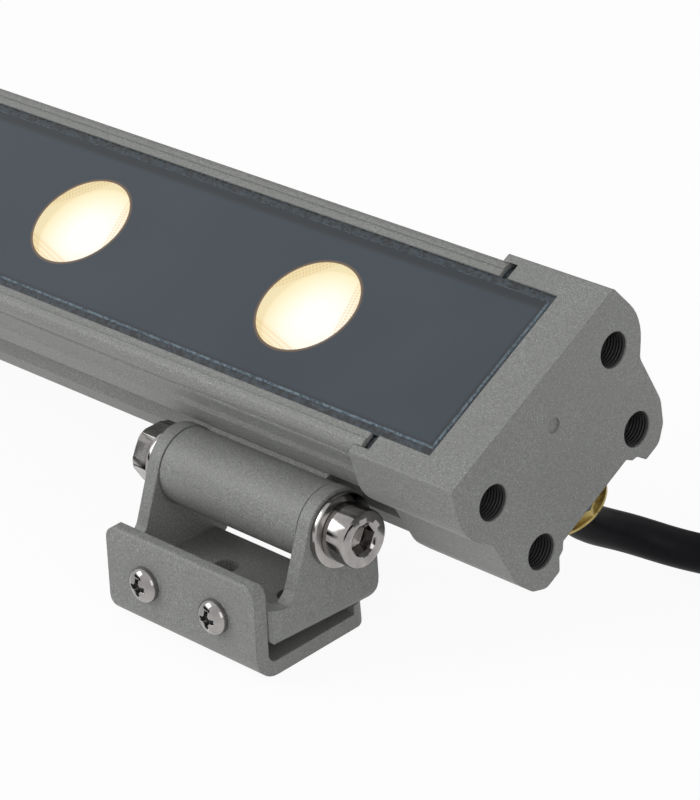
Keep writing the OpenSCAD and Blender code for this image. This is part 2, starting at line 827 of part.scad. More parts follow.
// The spaces inside the bracket's rounded bends, as seen from above, the side and the front,
// which reach past the ears at the back and the top
past_back = 2 * ear_rear;
past_top = 2 * ear_r;

module u_plan_bends() {
    translate([0, 0, -u_drop - cut]) linear_extrude(u_drop + past_top) polygon(rounded(both_sides([
        [ear_out, past_back, 0], [ear_out, -flange_front, u_corner_r]
    ]), 6));
}

module u_bottom_bends() {
    along_x(-ear_out - cut, ear_out + cut) polygon(rounded([
        [-flange_front, past_top, 0], [-flange_front, -u_drop, u_bend_r],
        [past_back, -u_drop, 0], [past_back, past_top, 0]
    ], 6));
}

module u_side_bends() {
    translate([0, past_back, 0]) rotate([90, 0, 0]) linear_extrude(past_back + flange_front + cut)
        polygon(rounded(both_sides([[ear_out, past_top, 0], [ear_out, -u_drop, u_bend_r]]), 6));
}

module fixing_holes(from, to) {
    for (s = [-0.5, 0.5]) translate([fix_offset + s * fix_spacing, 0, 0]) rod_z(fix_hole_r, from, to);
}

module plate_screw_places() {
    for (s = [-1, 1]) leaning() translate([s * plate_screw_x, -flange_front, plate_screw_h - u_drop])
        rotate([-90, 0, 0]) children();
}

module u_bracket() {
    difference() {
        leaning() intersection() {
            u_solid();
            u_plan_bends();
            u_bottom_bends();
            u_side_bends();
        }
        at_hinge() rod_x(hinge_screw_r + ear_gap / 2, -ear_out - cut, ear_out + cut);
        fixing_holes(plate_t, hinge_z - ear_r);
        plate_screw_places() rod_z(plate_screw_r, -cut, u_t + cut);
    }
}

module u_bracket_right() {
    color(powder_grey) right_bracket() u_bracket();
}

module u_bracket_left() {
    color(powder_grey) left_bracket() u_bracket();
}

// Side view of the mounting plate, with its front wall parallel to the leaning bracket.
// A leaning point is turned about the hinge axis into the row's own Y and Z.
function leaned(y, z) = [
    hinge_y + y * cos(u_lean) + z * sin(u_lean),
    hinge_z - y * sin(u_lean) + z * cos(u_lean)
];

wall_out = flange_front + plate_t;
bend_y = plate_bend_r - wall_out;
bend_z = (plate_bend_r - hinge_z + bend_y * sin(u_lean)) / cos(u_lean);
bend_centre = leaned(bend_y, bend_z);
wall_top = (plate_h - hinge_z - wall_out * sin(u_lean)) / cos(u_lean);
ridge_top = leaned(u_base_rear, -u_drop)[1] - thread_gap;

plate_outline = concat(
    [
        concat(leaned(-flange_front, wall_top), [0.25 * plate_t]),
        concat(leaned(-wall_out, wall_top), [0.25 * plate_t])
    ],
    [for (p = arc(bend_centre, plate_bend_r, 180 - u_lean, 270, 8)) [p[0], p[1], 0]],
    [
        [hinge_y + plate_rear, 0, 0.45 * ridge_top],
        [hinge_y + plate_rear, ridge_top, 0.3 * plate_t],
        [hinge_y + plate_rear - ridge_w, ridge_top, 0.2 * plate_t],
        [hinge_y + plate_rear - ridge_w, plate_t, 0]
    ],
    [for (p = arc(bend_centre, plate_bend_r - plate_t, 270, 180 - u_lean, 6)) [p[0], p[1], 0]]);

module mount_plate() {
    front = 2 * wall_out;
    difference() {
        intersection() {
            along_x(-plate_w / 2, plate_w / 2) polygon(rounded(plate_outline, 4));
            translate([0, 0, -cut]) linear_extrude(plate_h + 2 * cut) polygon(rounded(both_sides([
                [plate_w / 2, -front, 0], [plate_w / 2, hinge_y + plate_rear, plate_corner_r]
            ]), 6));
            translate([0, front, 0]) rotate([90, 0, 0]) linear_extrude(2 * front) polygon(rounded(
                both_sides([[plate_w / 2, -cut, 0], [plate_w / 2, plate_h, plate_corner_r]]), 6));
        }
        fixing_holes(-cut, plate_t + cut);
        plate_screw_places() rod_z(plate_screw_r + ear_gap / 2, -plate_t - cut, cut);
    }
}

module mount_plate_right() {
    color(powder_grey) right_bracket() mount_plate();
}

module mount_plate_left() {
    color(powder_grey) left_bracket() mount_plate();
}

// Both brackets' hinge hardware, with the heads on the outer sides
module both_hinges() {
    right_bracket() at_hinge() children();
    left_bracket() at_hinge() mirror([1, 0, 0]) children();
}

module hinge_screws() {
    end = washer_out + nut_h + screw_past_nut;
    color(steel) both_hinges() difference() {
        union() {
            rod_x(hinge_screw_r, -end, washer_out + thread_gap);
            translate([washer_out, 0, 0]) rotate([0, 90, 0]) rotate_extrude() polygon([
                [0, 0], [0.98 * hinge_head_r, 0], [hinge_head_r, 0.06 * hinge_head_h],
                [hinge_head_r, 0.88 * hinge_head_h], [0.97 * hinge_head_r, 0.96 * hinge_head_h],
                [0.9 * hinge_head_r, hinge_head_h], [0, hinge_head_h]
            ]);
        }
        translate([washer_out + 0.4 * hinge_head_h, 0, 0]) rotate([0, 90, 0])
            hex_prism(hinge_socket, hinge_head_h);
    }
}

module hinge_nuts() {
    color(steel) both_hinges() translate([-washer_out, 0, 0]) rotate([0, -90, 0]) difference() {
        nut_hex(nut_flats, nut_h);
        rod_z(hinge_screw_r + thread_gap, -cut, nut_h + cut);
    }
}

module hinge_washers() {
    color(steel) both_hinges() for (x = [-washer_out, ear_out]) difference() {
        rod_x(washer_r, x, x + washer_t);
        rod_x(hinge_screw_r + ear_gap / 2, x - cut, x + washer_t + cut);
    }
}

module pan_head() {
    rotate([180, 0, 0]) difference() {
        rotate_extrude() polygon(rounded([
            [0, 0, 0], [pan_r, 0, 0], [pan_r, 0.32 * pan_h, 0], [0.83 * pan_r, 0.82 * pan_h, 0.25 * pan_h],
            [0.4 * pan_r, pan_h, 0], [0, pan_h, 0]
        ], 5));
        for (a = [0, 90]) rotate([0, 0, a]) translate([-0.52 * pan_r, -0.13 * pan_r, 0.4 * pan_h])
            cube([1.04 * pan_r, 0.26 * pan_r, pan_h]);
        translate([0, 0, 0.3 * pan_h]) cylinder(r1 = 0.13 * pan_r, r2 = 0.3 * pan_r, h = pan_h);
    }
}

module plate_screws() {
    color(steel) at_brackets() plate_screw_places() translate([0, 0, -plate_t]) {
        pan_head();
        cylinder(r = plate_screw_r - thread_gap, h = plate_screw_len);
    }
}

// The cord: its free stretch, the run along the floor, the coil and the tail to the connector

// A closed tube swept along points, its end faces square to its first and last runs
module tube(path, sides) {
    last = len(path) - 1;
    rings = [for (i = [0 : last])
        let (along = unit(path[min(i + 1, last)] - path[max(i - 1, 0)]))
        let (side = unit(cross(along, [0, 0, 1])), up = cross(side, along))
        for (k = [0 : sides - 1]) let (turn = 360 * k / sides)
            path[i] + cord_d / 2 * (cos(turn) * side + sin(turn) * up)];
    walls = [for (i = [0 : last - 1], k = [0 : sides - 1])
        let (a = i * sides + k, b = i * sides + (k + 1) % sides)
        each [[a, b, b + sides], [a, b + sides, a + sides]]];
    ends = [for (k = [1 : sides - 2]) let (e = last * sides) each [[0, k + 1, k], [e, e + k, e + k + 1]]];
    polyhedron(points = rings, faces = concat(walls, ends));
}

// A point of the lamp's own frame in the row frame
function in_row(x, w, n) = [
    lamp_x + x,
    hinge_y + (w - hinge_w) * cos(lamp_tilt) - (n - hinge_n) * sin(lamp_tilt),
    hinge_z + (w - hinge_w) * sin(lamp_tilt) + (n - hinge_n) * cos(lamp_tilt)
];

// The free stretch leaves the gland squarely, comes down to the floor and turns along it
cord_route = [
    [47.1, 51, 18.1], [47.6, 53.9, 15.5], [48.6, 57.6, 13.1], [50.3, 61.6, 10.8], [53, 65.4, 8.4],
    [56.8, 68.8, 6.2], [61.4, 71.6, 4.9], [66.5, 73.8, 4.4], [72, 75, 4.4], [78, 75.4, 4.4], [84, 75.4, 4.4]
];
floor_route = [
    [84, 75.4, 4.4], [98, 75.4, 4.4], [107.06, 74.21, 4.4], [115.5, 70.71, 4.4], [122.75, 65.15, 4.4],
    [128.31, 57.9, 4.4], [131.81, 49.46, 4.4], [133, 40.4, 4.4], [133, 36, 4.4]
];

module power_cord() {
    exit = [in_row(gland_x, 0, -gland_face), in_row(gland_x, 0, -gland_face - 0.35 * cord_d)];
    color(rubber_black) tube(concat(exit, cord_route), 10);
}

module cord_run() {
    color(rubber_black) tube(floor_route, 10);
}

// The coil spirals in on the floor, climbs a layer in the half turn where it reverses, and
// spirals out again above. It starts and ends with a straight run of one diameter, and
// points half a turn or more apart on it give its least gap to itself.
steps_in_turn = 24;
half_turn = steps_in_turn / 2;
coil_start = floor_route[len(floor_route) - 1];
coil_centre = coil_start + [coil_r, -cord_d, 0];

function coil_point(turn) =
    let (inward = coil_turns / 2 - abs(turn - coil_turns / 2), r = coil_r - coil_pitch * inward)
    let (climb = min(max(2 * (turn - coil_turns / 2) + 0.5, 0), 1))
    coil_centre + [-r * cos(360 * turn), -r * sin(360 * turn), climb * coil_pitch];

coil_end = coil_point(coil_turns) + [cord_d, 0, 0];
coil_path = concat(
    [coil_start],
    [for (i = [0 : steps_in_turn * coil_turns]) coil_point(i / steps_in_turn)],
    [coil_end]);
coil_gap = min([for (i = [half_turn : len(coil_path) - 1]) for (j = [0 : i - half_turn])
    norm(coil_path[i] - coil_path[j])]) - cord_d;
echo(least_gap_of_the_coil_to_itself = coil_gap);

module cord_coil() {
    color(rubber_black) tube(coil_path, 6);
}

// The tail comes down from the coil's upper layer to the axis of the connector on the floor
tail_end = [coil_end[0] + tail_len, coil_end[1], coil_start[2] - cord_d / 2 + ring_r];
connector_spigot_r = 0.8 * plug_r;

function eased(s) = s * s * (3 - 2 * s);

module cord_tail() {
    path = [for (i = [0 : 8]) let (drop = eased(min(max((i - 1) / 6, 0), 1)))
        [coil_end[0] + tail_len * i / 8, coil_end[1], coil_end[2] + drop * (tail_end[2] - coil_end[2])]];
    color(rubber_black) tube(path, 10);
}

// A turned piece of the connector, from its place behind the tail's end
module on_connector(from) {
    translate(tail_end) rotate([0, 90, 0]) translate([0, 0, from]) rotate_extrude() children();
}

module connector_boot() {
    tip_r = 0.65 * plug_r;
    end_r = 0.85 * plug_r;
    color(rubber_black) on_connector(0)
        polygon([[0, 0], [tip_r, 0], [end_r, 0.9 * boot_len], [end_r, boot_len], [0, boot_len]]);
}

module connector_body() {
    spigot_end = plug_len + ring_len;
    color(rubber_black) on_connector(boot_len) polygon([
        [0, 0], [0.92 * plug_r, 0], [plug_r, 0.06 * plug_len], [plug_r, plug_len],
        [connector_spigot_r, plug_len], [connector_spigot_r, spigot_end], [0, spigot_end]
    ]);
}

module connector_ring() {
    bore_r = connector_spigot_r + hinge_clearance;
    bevel = 0.08 * ring_len;
    color(rubber_black) on_connector(boot_len + plug_len) polygon([
        [bore_r, 0], [ring_r - bevel, 0], [ring_r, bevel],
        [ring_r, ring_len - bevel], [ring_r - bevel, ring_len], [bore_r, ring_len]
    ]);
}

module connector_cap() {
    color(rubber_black) on_connector(boot_len + plug_len + ring_len) polygon([
        [0, 0], [plug_r, 0], [plug_r, 0.85 * plug_cap_len], [0.85 * plug_r, plug_cap_len], [0, plug_cap_len]
    ]);
}

housing_profile();
end_cap_right();
end_cap_left();
end_gasket_right();
end_gasket_left();
end_cap_screws_right();
end_cap_screws_left();
glass_cover();
glass_seal();
led_board();
leds();
lenses();
lens_holders();
board_screws();
driver();
led_wires();
supply_wires();
gland_body();
gland_washer();
gland_bush();
hinge_carrier_right();
hinge_carrier_left();
carrier_grub_screws();
u_bracket_right();
u_bracket_left();
mount_plate_right();
mount_plate_left();
hinge_screws();
hinge_nuts();
hinge_washers();
plate_screws();
power_cord();
cord_run();
cord_coil();
cord_tail();
connector_boot();
connector_body();
connector_ring();
connector_cap();
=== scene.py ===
import json
import math

import bmesh
import bpy
from mathutils import Matrix, Vector


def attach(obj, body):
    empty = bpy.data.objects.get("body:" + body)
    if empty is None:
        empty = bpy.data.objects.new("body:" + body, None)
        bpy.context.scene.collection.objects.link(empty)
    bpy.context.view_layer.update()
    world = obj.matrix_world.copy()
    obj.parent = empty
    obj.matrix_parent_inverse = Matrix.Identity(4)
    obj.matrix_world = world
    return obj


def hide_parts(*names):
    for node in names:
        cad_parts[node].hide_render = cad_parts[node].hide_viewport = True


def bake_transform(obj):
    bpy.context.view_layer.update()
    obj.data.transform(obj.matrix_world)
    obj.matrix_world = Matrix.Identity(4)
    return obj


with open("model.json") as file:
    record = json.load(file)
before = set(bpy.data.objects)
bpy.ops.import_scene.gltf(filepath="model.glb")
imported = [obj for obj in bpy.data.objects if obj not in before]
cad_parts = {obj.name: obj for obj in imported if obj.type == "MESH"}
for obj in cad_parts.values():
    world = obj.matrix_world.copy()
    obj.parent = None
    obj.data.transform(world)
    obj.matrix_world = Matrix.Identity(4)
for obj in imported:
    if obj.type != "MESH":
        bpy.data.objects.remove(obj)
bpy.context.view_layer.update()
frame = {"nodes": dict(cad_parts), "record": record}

# The hinge axis, along X
HINGE_Y = 0.0058
HINGE_Z = 0.027

# The lamp's own frame: X along it, Y across its glass, Z out of its glass
TILT = math.radians(26.2)
LAMP_X = -0.1912
FACE_FROM_HINGE = (0, 0.0354, 0.0221)
LAMP = (
    Matrix.Translation((LAMP_X, HINGE_Y, HINGE_Z))
    @ Matrix.Rotation(TILT, 4, "X")
    @ Matrix.Translation(FACE_FROM_HINGE)
)
HALF_LEN = 0.25
LED_PITCH = 0.0739
LED_COUNT = 6
WINDOW_R = 0.0122
GLASS_HALF_X = 0.23835
GLASS_HALF_Y = 0.0206
GLASS_T = 0.003
BORE_R = 0.00405
BORE_PLACES = [(0.0213, -0.0118), (-0.0213, -0.0118), (0.0173, -0.0334), (-0.0173, -0.0334)]
CORD_D = 0.0087


# Camera

def make_camera():
    """The camera as it stood for the photograph, from a fit to the lamp's edges."""
    right = Vector((0.706, 0.7037, -0.0797)).normalized()
    forward = Vector((-0.6518, 0.6018, -0.4617)).normalized()
    up = right.cross(forward).normalized()
    right = forward.cross(up)
    data = bpy.data.cameras.new("photo_camera")
    data.lens = 159.1
    data.sensor_width = 36
    data.clip_start = 0.05
    data.clip_end = 20
    camera = bpy.data.objects.new("photo_camera", data)
    turn = Matrix((right, up, -forward)).transposed().to_4x4()
    place = (0.49815, -0.4284, 0.3929)
    camera.matrix_world = Matrix.Translation(place) @ turn
    bpy.context.scene.collection.objects.link(camera)
    bpy.context.scene.camera = camera


# Meshes

def add_mesh(name, verts, faces, materials, place=None, sharp=35):
    """A new object with smooth faces that break at edges sharper than the given angle."""
    mesh = bpy.data.meshes.new(name)
    mesh.from_pydata([tuple(v) for v in verts], [], faces)
    mesh.validate()
    for material in materials:
        mesh.materials.append(material)
    return add_object(name, mesh, place, sharp)


def add_object(name, mesh, place=None, sharp=35):
    obj = bpy.data.objects.new(name, mesh)
    obj.matrix_world = place or Matrix.Identity(4)
    bpy.context.scene.collection.objects.link(obj)
    mesh.shade_smooth()
    mesh.set_sharp_from_angle(angle=math.radians(sharp))
    return obj


def skin(rings, capped=True, looped=False):
    """Vertices and faces that join rings of equal count, with flat ends or closed on itself."""
    count = len(rings[0])
    last = len(rings)
    verts = [point for ring in rings for point in ring]
    faces = []
    for i in range(last if looped else last - 1):
        for k in range(count):
            a = i * count + k
            b = i * count + (k + 1) % count
            c = (i + 1) % last * count
            faces.append((a, b, c + (k + 1) % count, c + k))
    if capped and not looped:
        faces.append(tuple(reversed(range(count))))
        faces.append(tuple(range((last - 1) * count, last * count)))
    return verts, faces


def joined(shapes):
    """The vertices and faces of several shapes as one."""
    verts = []
    faces = []
    for more_verts, more_faces in shapes:
        start = len(verts)
        verts += more_verts
        faces += [tuple(start + i for i in face) for face in more_faces]
    return verts, faces


def repeated(shape, places):
    """The shape's vertices and faces at each of the places, as one."""
    verts, faces = shape
    return joined([([place @ v for v in verts], faces) for place in places])


def rectangle(width, height, z=0):
    """The four corners of a flat rectangle about the Z axis."""
    x, y = width / 2, height / 2
    return [(-x, -y, z), (x, -y, z), (x, y, z), (-x, y, z)]


def smooth_curve(points, steps):
    """A curve of even bend along the points, from the first to the last of them."""
    ends = [2 * points[0] - points[1]] + points + [2 * points[-1] - points[-2]]
    curve = []
    for a, b, c, d in zip(ends, ends[1:], ends[2:], ends[3:]):
        for i in range(steps):
            t = i / steps
            curve.append(
                (a * (1 - t) ** 3 + b * (3 * t ** 3 - 6 * t ** 2 + 4)
                 + c * (3 * t ** 2 - 3 * t ** 3 + 3 * t + 1) + d * t ** 3) / 6
            )
    return curve + [points[-1]]


def tube_rings(path, radius, sides):
    """Round sections along a path that never runs straight up."""
    rings = []
    for i, point in enumerate(path):
        along = (path[min(i + 1, len(path) - 1)] - path[max(i - 1, 0)]).normalized()
        side = along.cross(Vector((0, 0, 1))).normalized()
        up = side.cross(along)
        turns = [2 * math.pi * k / sides for k in range(sides)]
        rings.append([point + radius * (math.cos(a) * side + math.sin(a) * up) for a in turns])
    return rings


# The cable's route repeats the points of the CAD source, in metres
GLAND_X = 0.238
GLAND_FACE = 0.0424
STRAIGHT_OUT = 0.35 * CORD_D
EXIT = LAMP @ Vector((GLAND_X, 0, -GLAND_FACE))
FREE_ROUTE = [
    EXIT,
    LAMP @ Vector((GLAND_X, 0, -GLAND_FACE - STRAIGHT_OUT)),
    *map(Vector, [
        (0.0471, 0.051, 0.0181), (0.0476, 0.0539, 0.0155), (0.0486, 0.0576, 0.0131),
        (0.0503, 0.0616, 0.0108), (0.053, 0.0654, 0.0084), (0.0568, 0.0688, 0.0062),
        (0.0614, 0.0716, 0.0049), (0.0665, 0.0738, 0.0044), (0.072, 0.075, 0.0044),
        (0.078, 0.0754, 0.0044), (0.084, 0.0754, 0.0044), (0.098, 0.0754, 0.0044),
        (0.10706, 0.07421, 0.0044), (0.1155, 0.07071, 0.0044), (0.12275, 0.06515, 0.0044),
        (0.12831, 0.0579, 0.0044), (0.13181, 0.04946, 0.0044), (0.133, 0.0404, 0.0044),
        (0.133, 0.036, 0.0044),
    ]),
]
COIL_R = 0.052
COIL_PITCH = 0.0094
COIL_TURNS = 3.25
COIL_CENTRE = FREE_ROUTE[-1] + Vector((COIL_R, -CORD_D, 0))
TAIL_LEN = 0.036
CONNECTOR_Z = 0.01055

# Steps in the tail, in a turn of the route and of the mesh, and between two other points
TAIL_STEPS = 8
COIL_STEPS = 24
FINE_STEPS = 72
CURVE_STEPS = 3

# Sides of the cable's round section
CORD_SIDES = 28


def coil_radius(turn):
    return COIL_R - COIL_PITCH * (COIL_TURNS / 2 - abs(turn - COIL_TURNS / 2))


def coil_height(turn):
    return COIL_PITCH * min(max(2 * (turn - COIL_TURNS / 2) + 0.5, 0), 1)


def coil_out(turn):
    """The direction from the coil's centre to a point of it."""
    angle = 2 * math.pi * turn
    return Vector((-math.cos(angle), -math.sin(angle), 0))


def coil_point(turn):
    return COIL_CENTRE + coil_out(turn) * coil_radius(turn) + Vector((0, 0, coil_height(turn)))


def tail_route():
    """The tail, which comes down from the coil's upper layer to the connector's axis."""
    start = coil_point(COIL_TURNS) + Vector((CORD_D, 0, 0))
    fall = start.z - CONNECTOR_Z
    points = []
    for i in range(TAIL_STEPS + 1):
        drop = min(max((i - 1) / (TAIL_STEPS - 2), 0), 1)
        eased = drop * drop * (3 - 2 * drop)
        points.append(start + Vector((TAIL_LEN * i / TAIL_STEPS, 0, -fall * eased)))
    return points


def make_cord(materials):
    """The whole cable, from the gland along the floor and round the coil to the connector."""
    coil = [coil_point(i / COIL_STEPS) for i in range(int(COIL_STEPS * COIL_TURNS) + 1)]
    fine_coil = [coil_point(i / FINE_STEPS) for i in range(1, int(FINE_STEPS * COIL_TURNS))]
    route = FREE_ROUTE + coil + tail_route()
    curve = smooth_curve(FREE_ROUTE + coil[:1], CURVE_STEPS) + fine_coil
    curve += smooth_curve(coil[-1:] + tail_route(), CURVE_STEPS)
    verts, faces = skin(tube_rings(curve, CORD_D / 2, CORD_SIDES))
    cord = add_mesh("supply_cable", verts, faces, [materials["cable_rubber"]], sharp=60)
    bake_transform(cord)
    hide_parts("power_cord", "cord_run", "cord_coil", "cord_tail")
    return cord, route


# Materials

def srgb(red, green, blue):
    """A colour as the photograph's levels give it, as linear numbers with full alpha."""
    levels = [v / 255 for v in (red, green, blue)]
    return (*[v / 12.92 if v <= 0.04045 else ((v + 0.055) / 1.055) ** 2.4 for v in levels], 1)


class Graph:
    """One material and short calls that add nodes to it."""

    def __init__(self, name):
        self.material = bpy.data.materials.new(name)
        self.material.use_nodes = True
        self.tree = self.material.node_tree
        self.shader = self.tree.nodes["Principled BSDF"]

    def feed(self, socket, value):
        if isinstance(value, bpy.types.NodeSocket):
            self.tree.links.new(value, socket)
        else:
            socket.default_value = value

    def add(self, kind, inputs, output=0, **settings):
        node = self.tree.nodes.new("ShaderNode" + kind)
        for name, value in settings.items():
            setattr(node, name, value)
        for name, value in inputs.items():
            self.feed(node.inputs[name], value)
        return node.outputs[output]

    def shade(self, **inputs):
        for name, value in inputs.items():
            label = name.replace("_", " ").title().replace("Ior", "IOR")
            self.feed(self.shader.inputs[label], value)

    def place(self):
        return self.add("TexCoord", {}, output="Object")

    def lamp_place(self):
        """Coordinates in the lamp's frame, for a node whose mesh is in the row frame."""
        where = LAMP.to_translation()
        return self.add(
            "Mapping", {"Vector": self.place(), "Location": where, "Rotation": (TILT, 0, 0)},
            vector_type="TEXTURE",
        )

    def noise(self, place, scale, detail=2.0):
        return self.add("TexNoise", {"Vector": place, "Scale": scale, "Detail": detail})

    def stretched(self, place, scale):
        return self.add("VectorMath", {0: place, 1: scale}, operation="MULTIPLY")

    def math(self, operation, *values):
        return self.add("Math", dict(enumerate(values)), operation=operation)

    def span(self, value, low, high, to_low=0.0, to_high=1.0):
        inputs = {"Value": value, "From Min": low, "From Max": high, "To Min": to_low, "To Max": to_high}
        return self.add("MapRange", inputs, interpolation_type="SMOOTHSTEP")

    def ramp(self, value, stops):
        node = self.tree.nodes.new("ShaderNodeValToRGB")
        points = node.color_ramp.elements
        while len(points) < len(stops):
            points.new(0.5)
        for point, (at, colour) in zip(points, stops):
            point.position = at
            point.color = colour
        self.feed(node.inputs[0], value)
        return node.outputs[0]

    def mix(self, factor, first, second, how="MIX"):
        return self.add(
            "Mix", {0: factor, 6: first, 7: second}, output=2, data_type="RGBA", blend_type=how
        )

    def bump(self, height, strength, distance, edge=0.0):
        """A bumped normal, over edges rounded by the given radius."""
        inputs = {"Height": height, "Strength": strength, "Distance": distance}
        if edge:
            inputs["Normal"] = self.add("Bevel", {"Radius": edge}, samples=4)
        return self.add("Bump", inputs)


def powder_coat():
    """Fine textured satin grey with light flecks."""
    g = Graph("powder_coat")
    place = g.place()
    grain = g.noise(place, 2300, 3.0)
    cloud = g.noise(place, 55)
    fleck = g.noise(g.stretched(place, (1, 1.1, 0.9)), 3600, 1.0)
    colour = g.ramp(grain, [
        (0.34, srgb(112, 113, 111)), (0.5, srgb(127, 128, 125)), (0.64, srgb(142, 143, 139))
    ])
    colour = g.mix(g.span(fleck, 0.62, 0.74), colour, srgb(178, 180, 175))
    colour = g.mix(g.span(cloud, 0.3, 0.7, 0, 0.35), colour, srgb(121, 122, 119))
    g.shade(
        base_color=colour,
        metallic=0.0,
        roughness=g.span(grain, 0.3, 0.7, 0.42, 0.6),
        normal=g.bump(grain, 0.5, 0.00016, 0.0004),
    )
    return g.material


def stainless():
    """Polished steel with fine turning marks and slight wear."""
    g = Graph("stainless")
    place = g.place()
    marks = g.noise(g.stretched(place, (6, 1, 1)), 1500, 2.0)
    wear = g.noise(place, 260, 3.0)
    g.shade(
        base_color=g.ramp(wear, [(0.35, srgb(142, 139, 138)), (0.65, srgb(166, 163, 161))]),
        metallic=1.0,
        roughness=g.span(wear, 0.35, 0.7, 0.07, 0.2),
        normal=g.bump(marks, 0.08, 0.00004, 0.00022),
    )
    return g.material


def brass():
    g = Graph("gland_brass")
    place = g.place()
    marks = g.noise(place, 900, 3.0)
    g.shade(
        base_color=g.ramp(marks, [(0.35, srgb(158, 137, 78)), (0.65, srgb(186, 166, 104))]),
        metallic=0.7,
        roughness=g.span(marks, 0.3, 0.7, 0.3, 0.46),
        normal=g.bump(marks, 0.15, 0.00005, 0.0002),
    )
    return g.material


def seal_rubber():
    """A dark bead of sealant with an uneven, slightly glossy skin."""
    g = Graph("seal_rubber")
    place = g.place()
    ripple = g.noise(place, 750, 3.0)
    g.shade(
        base_color=g.ramp(ripple, [(0.4, srgb(24, 29, 34)), (0.62, srgb(52, 62, 70))]),
        roughness=g.span(ripple, 0.3, 0.7, 0.22, 0.5),
        normal=g.bump(ripple, 0.8, 0.0004),
    )
    return g.material


def cable_rubber():
    """Smooth black cable jacket with a faint lengthwise unevenness."""
    g = Graph("cable_rubber")
    place = g.place()
    skin_noise = g.noise(place, 420, 2.0)
    fine = g.noise(place, 3800, 2.0)
    g.shade(
        base_color=g.ramp(skin_noise, [(0.35, srgb(10, 9, 13)), (0.7, srgb(15, 14, 19))]),
        specular_ior_level=0.1,
        roughness=g.span(fine, 0.3, 0.7, 0.4, 0.5),
        normal=g.bump(fine, 0.06, 0.00004),
    )
    return g.material


def plastic(name, dark, light, grain=1400, rough=0.5, edge=0.0003):
    """Moulded plastic with a fine eroded texture."""
    g = Graph(name)
    place = g.place()
    erosion = g.noise(place, grain, 3.0)
    g.shade(
        base_color=g.ramp(erosion, [(0.35, dark), (0.65, light)]),
        roughness=g.span(erosion, 0.3, 0.7, rough - 0.08, rough + 0.08),
        normal=g.bump(erosion, 0.2, 0.00008, edge),
    )
    return g.material


def near_led(g, place):
    """Local X and Y of a point about the nearest LED's axis, in metres."""
    axes = g.add("SeparateXYZ", {0: place}).node.outputs
    row = g.math("WRAP", axes["X"], LED_PITCH, 0.0)
    return g.math("SUBTRACT", row, LED_PITCH / 2), axes["Y"]


def led_radius(g, x, y):
    squares = g.math("ADD", g.math("MULTIPLY", x, x), g.math("MULTIPLY", y, y))
    return g.math("SQRT", squares)


def lens_plastic():
    """The lit lens: a white core, a cream rim and three beaded zones where its feet stand."""
    g = Graph("lens_plastic")
    x, y = near_led(g, g.lamp_place())
    core_x, core_y, reach = 0.0028, -0.0016, 0.0135
    line_pitch, bead_pitch = 0.0008, 0.001
    core = led_radius(g, g.math("SUBTRACT", x, core_x), g.math("SUBTRACT", y, core_y))
    shade = g.ramp(g.math("DIVIDE", core, reach), [
        (0.34, srgb(254, 254, 250)), (0.58, srgb(255, 251, 232)), (0.80, srgb(255, 244, 206)),
        (0.98, srgb(254, 236, 186)),
    ])
    for angle, start in ((15, 0.0078), (135, 0.0108), (255, 0.0082)):
        a = math.radians(angle)
        out = g.math("ADD", g.math("MULTIPLY", x, math.cos(a)), g.math("MULTIPLY", y, math.sin(a)))
        across = g.math("SUBTRACT", g.math("MULTIPLY", y, math.cos(a)), g.math("MULTIPLY", x, math.sin(a)))
        zone = g.span(out, start, start + 0.0006)
        lines = g.math("SINE", g.math("MULTIPLY", across, 2 * math.pi / line_pitch))
        beads = g.math("SINE", g.math("MULTIPLY", out, 2 * math.pi / bead_pitch))
        hatch = g.span(g.math("ADD", lines, beads), 0.0, 1.2, 0.12, 0.75)
        shade = g.mix(g.math("MULTIPLY", zone, hatch), shade, srgb(236, 200, 128))
    g.shade(
        base_color=srgb(90, 86, 74), roughness=0.3, emission_color=shade, emission_strength=0.93
    )
    return g.material


def printed_glass():
    """Dark blue-grey print on the glass, with painted shade towards its edges and a painted LED glow round
    the windows.
    """
    g = Graph("printed_glass")
    place = g.place()
    x, y = near_led(g, place)
    radius = led_radius(g, x, y)
    axes = g.add("SeparateXYZ", {0: place}).node.outputs
    cloud = g.noise(place, 26)
    colour = g.ramp(cloud, [(0.3, srgb(42, 54, 63)), (0.7, srgb(48, 60, 69))])
    # Painted shade: darker bands along the upper and lower edges, where the housing's walls shade the glass
    upper = g.span(axes["Y"], 0.0172, 0.0190)
    colour = g.mix(g.math("MULTIPLY", upper, 0.75), colour, srgb(14, 19, 24))
    lower = g.span(axes["Y"], -0.0203, -0.0190, 1, 0)
    colour = g.mix(g.math("MULTIPLY", lower, 0.6), colour, srgb(18, 24, 29))
    # Painted shade towards the glass's ends too
    end_shade = g.span(g.math("ABSOLUTE", axes["X"]), 0.2365, 0.2378)
    colour = g.mix(g.math("MULTIPLY", end_shade, 0.6), colour, srgb(18, 24, 29))
    # Painted glow: a warm emissive ring round each window stands in for the LEDs' light on the print
    painted_glow = g.span(radius, WINDOW_R, WINDOW_R + 0.0009, 1, 0)
    g.shade(
        base_color=colour,
        roughness=g.span(cloud, 0.3, 0.7, 0.1, 0.16),
        emission_color=g.mix(painted_glow, (0, 0, 0, 1), srgb(150, 104, 40)),
        emission_strength=0.5,
    )
    return g.material


def clear_glass():
    g = Graph("clear_glass")
    haze = g.noise(g.place(), 300)
    g.shade(
        base_color=(1, 1, 1, 1), roughness=g.span(haze, 0.4, 0.8, 0, 0.02), ior=1.5,
        transmission_weight=1.0,
    )
    return g.material


def glass_edge():
    """The ground edge of the glass, which catches the light."""
    g = Graph("glass_edge")
    chips = g.noise(g.place(), 1300, 3.0)
    g.shade(
        base_color=g.ramp(chips, [(0.4, srgb(66, 80, 90)), (0.6, srgb(112, 128, 138))]),
        roughness=0.35,
        normal=g.bump(chips, 0.7, 0.0003),
    )
    return g.material


